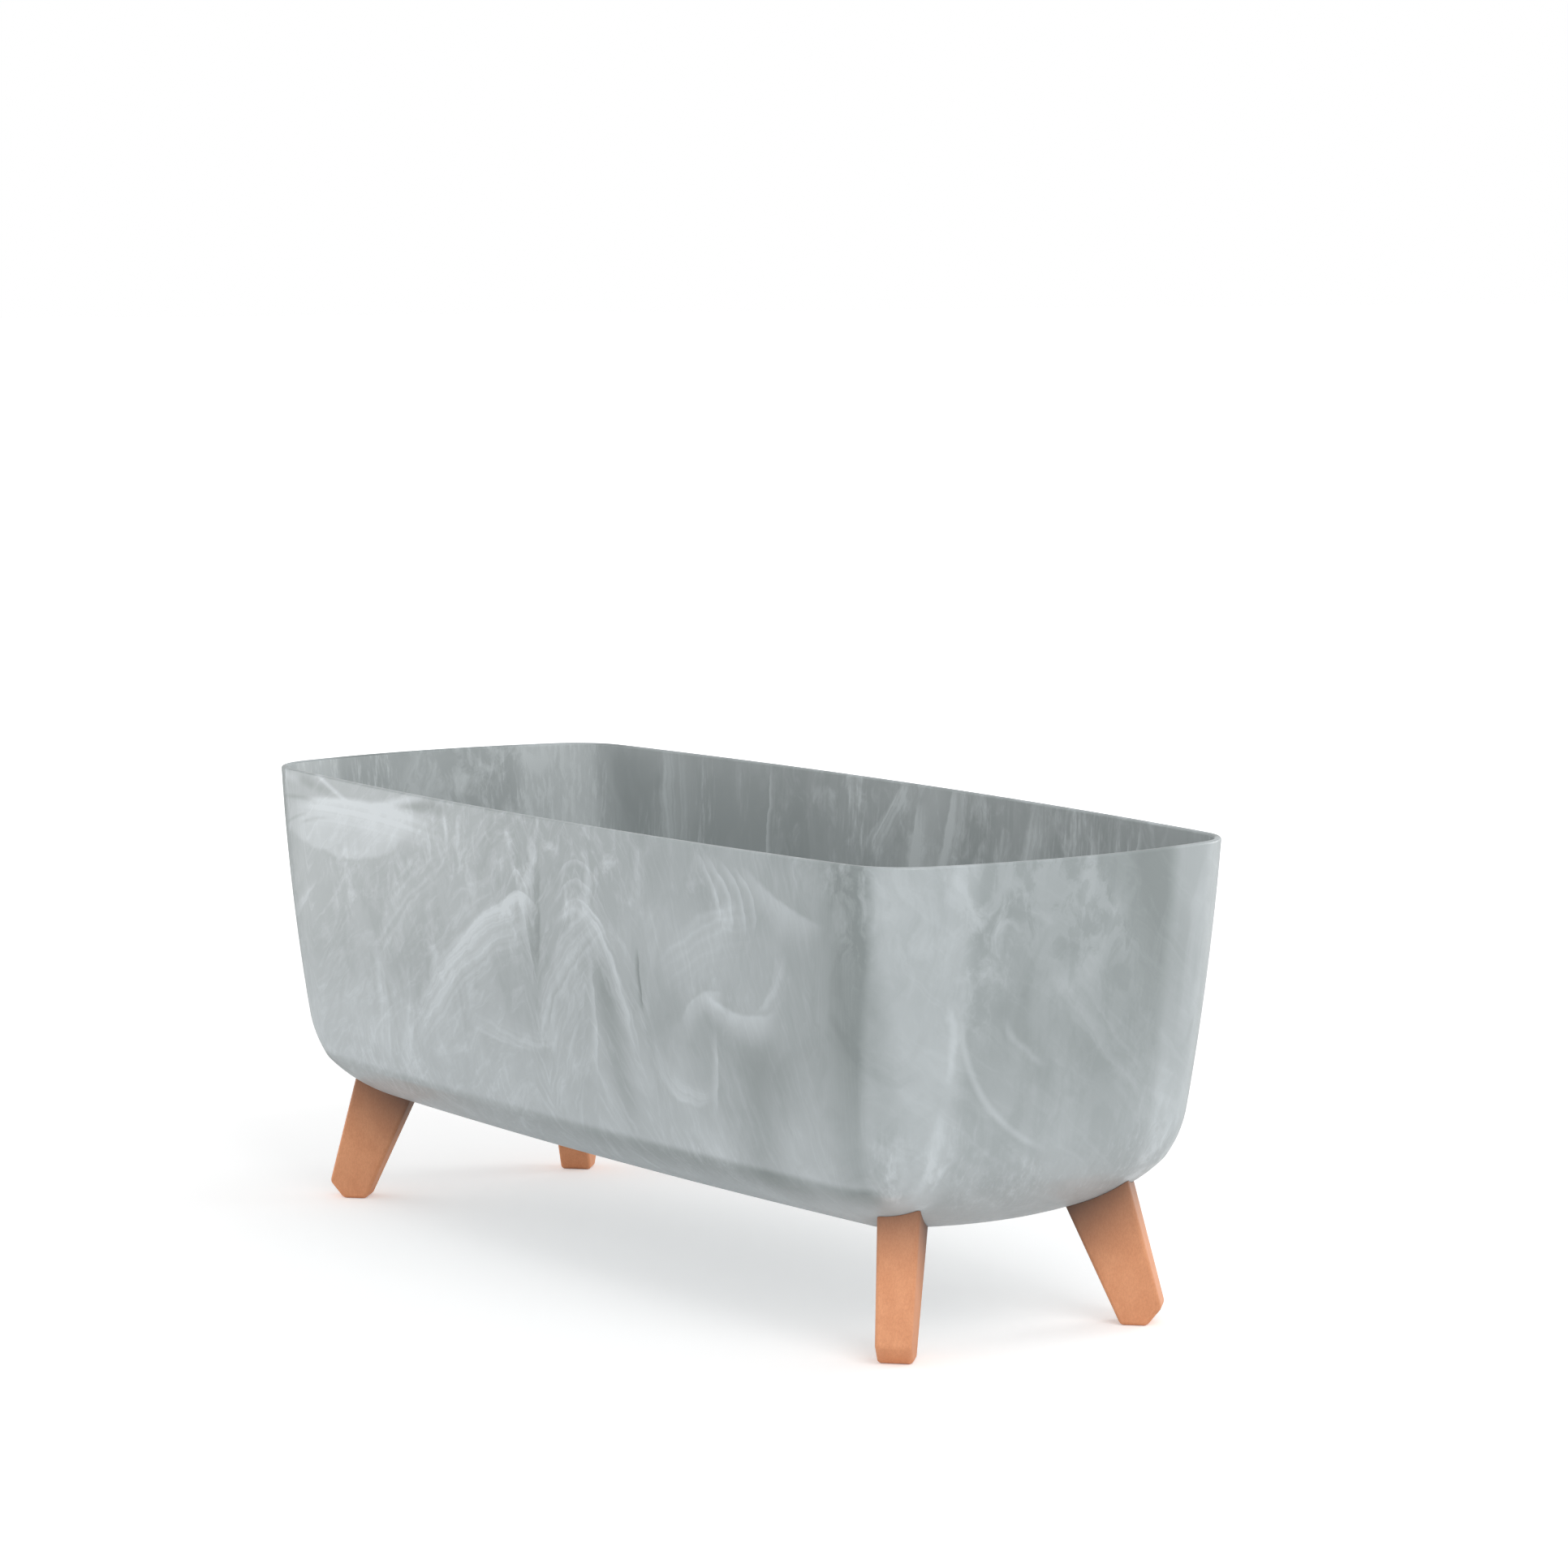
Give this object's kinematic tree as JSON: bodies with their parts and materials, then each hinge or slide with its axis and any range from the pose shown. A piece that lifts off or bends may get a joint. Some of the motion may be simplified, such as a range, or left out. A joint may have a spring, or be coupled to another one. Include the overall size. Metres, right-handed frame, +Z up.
{
  "type": "raised planter on legs",
  "caption": "Long moulded plant tub with leaning, bowed walls and a rounded base, open at the top, raised on splayed tapering legs that are screwed on from inside.",
  "frame": {"origin": "on the ground, under the middle of the tub", "axes": "+X along the tub's length, +Y towards its rear, +Z up"},
  "size_m": [0.5996, 0.2498, 0.242],
  "materials": {
    "tub_plastic": "satin moulded plastic, grey with paler marbled swirls",
    "leg_wood": "smooth matt orange-tan wood composite, fine grain",
    "screw_steel": "zinc-plated steel",
    "washer_rubber": "matt black rubber"
  },
  "bodies": {
    "root": {"planter_tub": "tub_plastic", "leg_front_left": "leg_wood", "leg_front_right": "leg_wood", "leg_rear_left": "leg_wood", "leg_rear_right": "leg_wood", "leg_screws": "screw_steel", "sealing_washers": "washer_rubber"}
  },
  "joints": []
}
